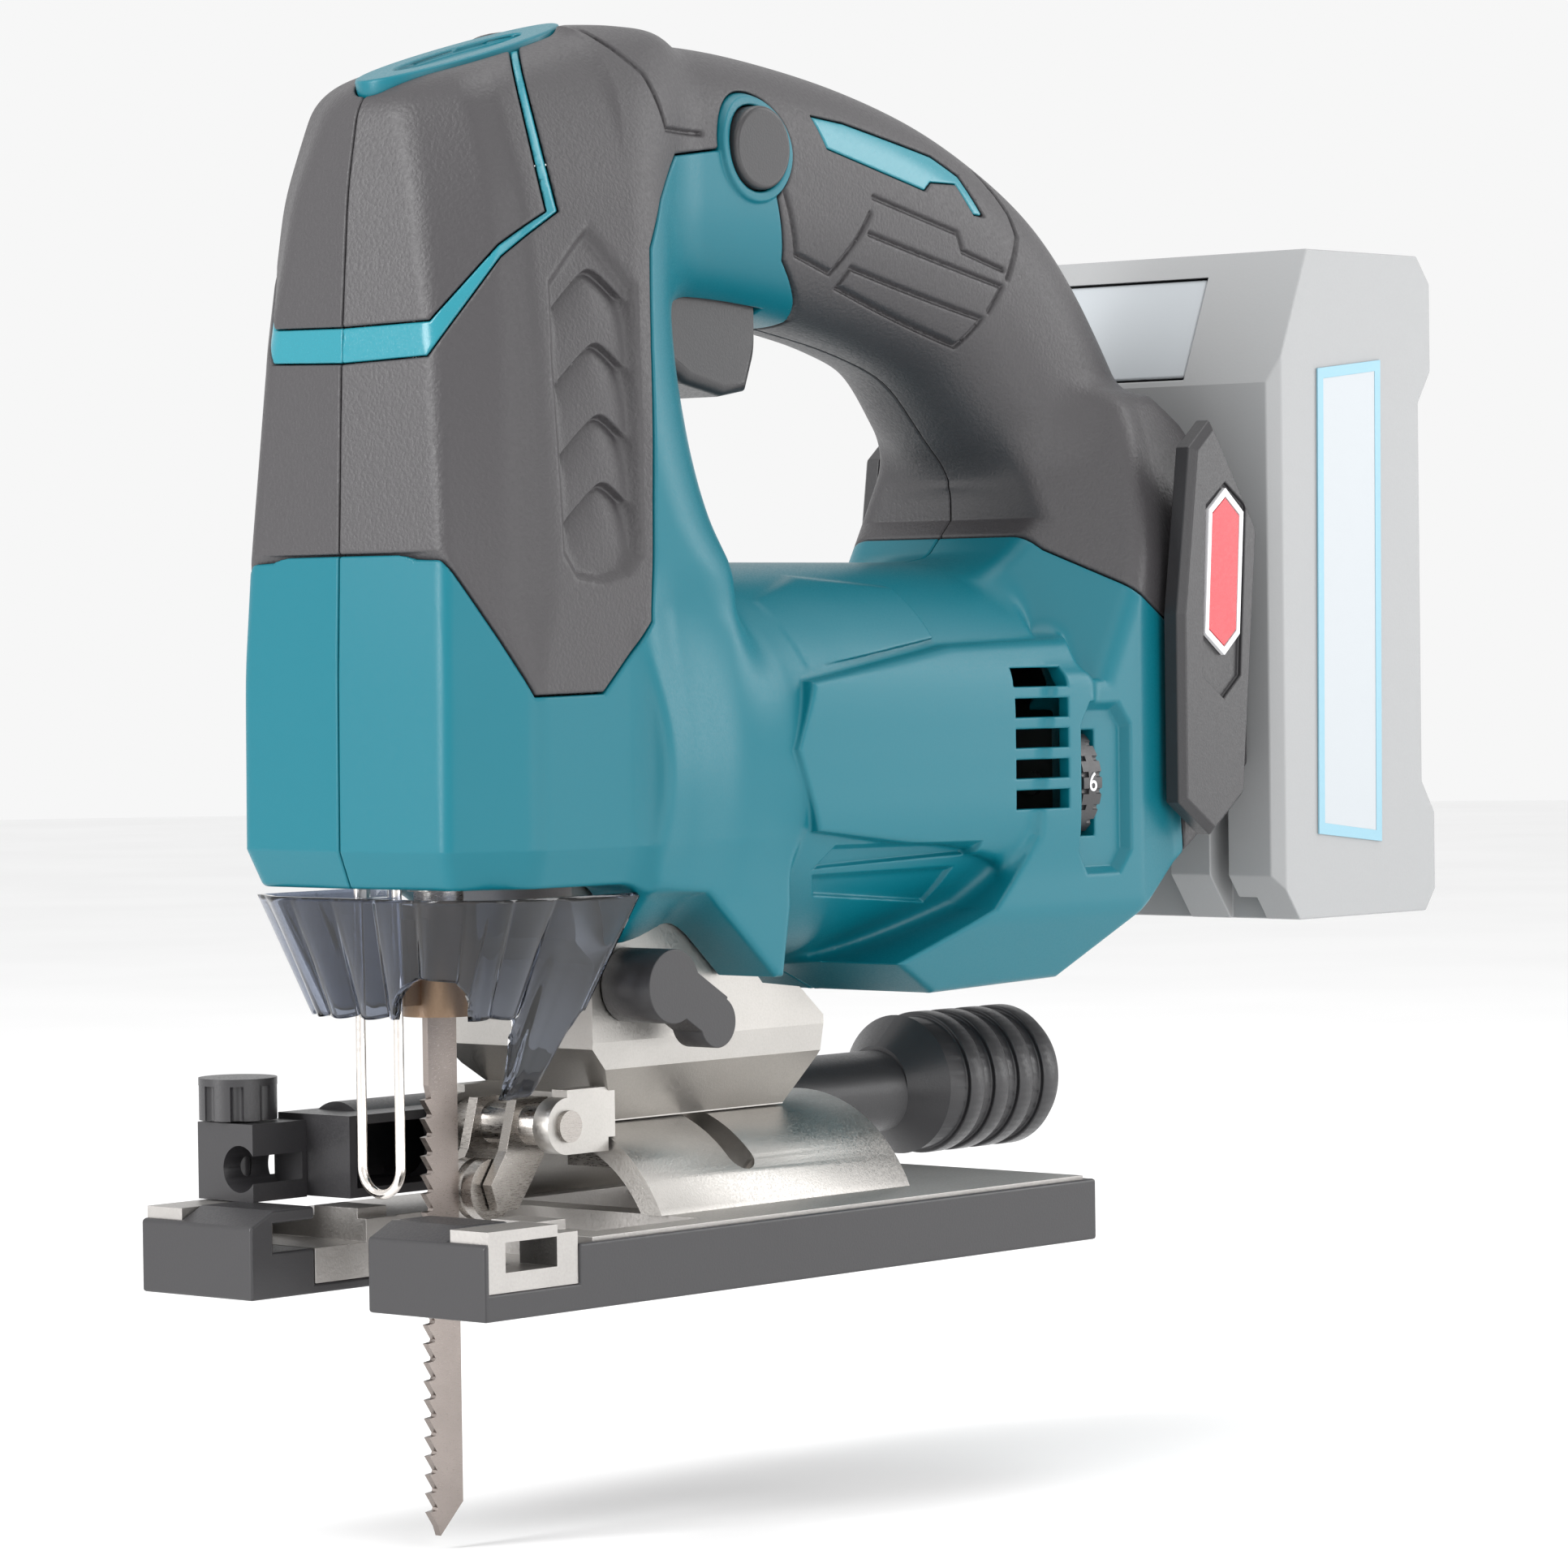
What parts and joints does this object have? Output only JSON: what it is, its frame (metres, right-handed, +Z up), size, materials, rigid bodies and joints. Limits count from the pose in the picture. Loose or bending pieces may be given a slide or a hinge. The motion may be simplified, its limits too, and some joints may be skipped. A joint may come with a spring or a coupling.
{
  "type": "jigsaw power tool",
  "caption": "Cordless top-handle jigsaw with tilting sole, orbital blade guide, dust nozzle and slide-on battery pack.",
  "frame": {"origin": "on the underside of the sole, on the centre line of the blade at mid stroke", "axes": "+Z up through the handle; -X is the cutting direction; +Y is the right hand side of the tool"},
  "size_m": [0.2525, 0.0789, 0.2437],
  "materials": {
    "teal_shell": "fine-textured moulded resin",
    "black_grip": "soft-touch overmould, fine grain",
    "black_resin": "fine-textured resin",
    "cast_aluminium": "shot-blasted casting",
    "sole_aluminium": "satin",
    "steel": "ground",
    "bright_wire": "bright",
    "blade_steel": "dark satin",
    "bronze": "sintered",
    "smoke_clear": "clear smoked polycarbonate",
    "lamp_clear": "clear lens",
    "laminations": "electrical steel",
    "board_green": "circuit board",
    "battery_grey": "pale grey resin",
    "battery_trim": "pale resin",
    "badge_red": "gloss",
    "cell_wrap": "shrink sleeve"
  },
  "bodies": {
    "tool": {"housing_left": "teal_shell", "housing_right": "teal_shell", "grip_left": "black_grip", "grip_right": "black_grip", "nose_cap": "teal_shell", "guard_left": "black_resin", "guard_right": "black_resin", "side_badges": "badge_red", "gear_case": "cast_aluminium", "motor_plate": "cast_aluminium", "gear_spindle": "steel", "stator": "laminations", "motor_bearings": "steel", "pivot_blocks": "bronze", "trigger_spring": "steel", "spring_seat": "black_resin", "switch_body": "black_resin", "dial_spindle": "black_resin", "control_board": "board_green", "fork_pin": "steel", "wire_guard": "bright_wire", "lamp_lens": "lamp_clear", "lamp_board": "board_green", "clamp_bolt": "steel", "battery_rails": "black_resin", "terminal_block": "black_resin", "housing_screws": "steel"},
    "rotor": {"rotor_core": "laminations", "rotor_shaft": "steel", "cooling_fan": "black_resin"},
    "crank": {"crank_gear": "steel", "crank_pin": "steel"},
    "carrier": {"swing_carrier": "cast_aluminium", "plunger_bushes": "bronze"},
    "plunger_unit": {"plunger": "steel", "yoke": "steel", "blade_holder": "steel", "blade": "blade_steel"},
    "clamp": {"clamp_sleeve": "bronze"},
    "trigger_unit": {"trigger": "black_resin"},
    "lock_off": {"lock_button": "black_resin"},
    "dial": {"speed_dial": "black_resin"},
    "orbit_selector": {"orbit_lever": "black_resin"},
    "fork": {"roller_fork": "steel", "roller_axle": "steel"},
    "roller": {"guide_roller": "steel"},
    "chip_cover": {"dust_cover": "smoke_clear"},
    "shoe": {"clamp_shoe": "steel"},
    "sole": {"sole_plate": "sole_aluminium", "sole_cover": "black_resin", "bevel_quadrant": "cast_aluminium", "dust_nozzle": "black_resin", "hose_adapter": "black_resin", "nozzle_bracket": "black_resin"},
    "knob": {"nozzle_knob": "black_resin"},
    "battery": {"battery_case": "battery_grey", "battery_cells": "cell_wrap", "battery_label": "battery_trim"},
    "latch": {"battery_latch": "battery_trim"}
  },
  "joints": [
    {"name": "motor_spin", "type": "hinge", "parent": "tool", "child": "rotor", "pos_m": [0.06, 0, 0.083], "axis": [1, 0, 0], "continuous": true},
    {"name": "crank_spin", "type": "hinge", "parent": "tool", "child": "crank", "pos_m": [0.016, 0, 0.11], "axis": [1, 0, 0], "continuous": true},
    {"name": "orbit_swing", "type": "hinge", "parent": "tool", "child": "carrier", "pos_m": [0.0015, 0, 0.16], "axis": [0, 1, 0], "range_deg": [0, 0.6]},
    {"name": "stroke", "type": "slide", "parent": "carrier", "child": "plunger_unit", "axis": [0, 0, 1], "range_m": [-0.013, 0.013]},
    {"name": "clamp_turn", "type": "hinge", "parent": "plunger_unit", "child": "clamp", "pos_m": [0.0015, 0, 0.052], "axis": [0, 0, 1], "range_deg": [0, 60], "stiffness_Nm_per_rad": 0.02},
    {"name": "trigger_pull", "type": "slide", "parent": "tool", "child": "trigger_unit", "axis": [0, 0, 1], "range_m": [0, 0.006], "stiffness_N_per_m": 800, "springref_m": -0.003, "deforming": ["trigger_spring"]},
    {"name": "lock_off_slide", "type": "slide", "parent": "tool", "child": "lock_off", "axis": [0, 1, 0], "range_m": [0, 0.0035]},
    {"name": "speed_dial_turn", "type": "hinge", "parent": "tool", "child": "dial", "pos_m": [0.127, -0.0235, 0.078], "axis": [1, 0, 0], "range_deg": [-225, 0]},
    {"name": "orbit_select", "type": "hinge", "parent": "tool", "child": "orbit_selector", "pos_m": [0.0266, -0.022, 0.0481], "axis": [0, -1, 0], "range_deg": [0, 50]},
    {"name": "roller_swing", "type": "hinge", "parent": "tool", "child": "fork", "pos_m": [0.0168, 0, 0.0257], "axis": [0, 1, 0], "range_deg": [0, 8.2]},
    {"name": "roller_spin", "type": "hinge", "parent": "fork", "child": "roller", "pos_m": [0.0098, 0, 0.0155], "axis": [0, 1, 0], "continuous": true},
    {"name": "chip_cover_slide", "type": "slide", "parent": "tool", "child": "chip_cover", "axis": [0, 0, -1], "range_m": [0, 0.01]},
    {"name": "sole_shift", "type": "slide", "parent": "tool", "child": "shoe", "axis": [1, 0, 0], "range_m": [0, 0.012]},
    {"name": "sole_tilt", "type": "hinge", "parent": "shoe", "child": "sole", "pos_m": [0.052, 0, 0], "axis": [1, 0, 0], "range_deg": [-45, 0]},
    {"name": "nozzle_knob_turn", "type": "hinge", "parent": "sole", "child": "knob", "pos_m": [-0.011, 0.034, 0.03], "axis": [0, 0, 1], "continuous": true},
    {"name": "battery_slide", "type": "slide", "parent": "tool", "child": "battery", "axis": [0, 0, 1], "range_m": [0, 0.075]},
    {"name": "latch_press", "type": "slide", "parent": "battery", "child": "latch", "axis": [1, 0, 0], "range_m": [0, 0.003], "stiffness_N_per_m": 600, "springref_m": -0.002}
  ],
  "couplings": [
    {"joint": "crank_spin", "follows": "motor_spin", "ratio": -0.25},
    {"joint": "roller_swing", "follows": "orbit_swing", "ratio": 13.2}
  ]
}
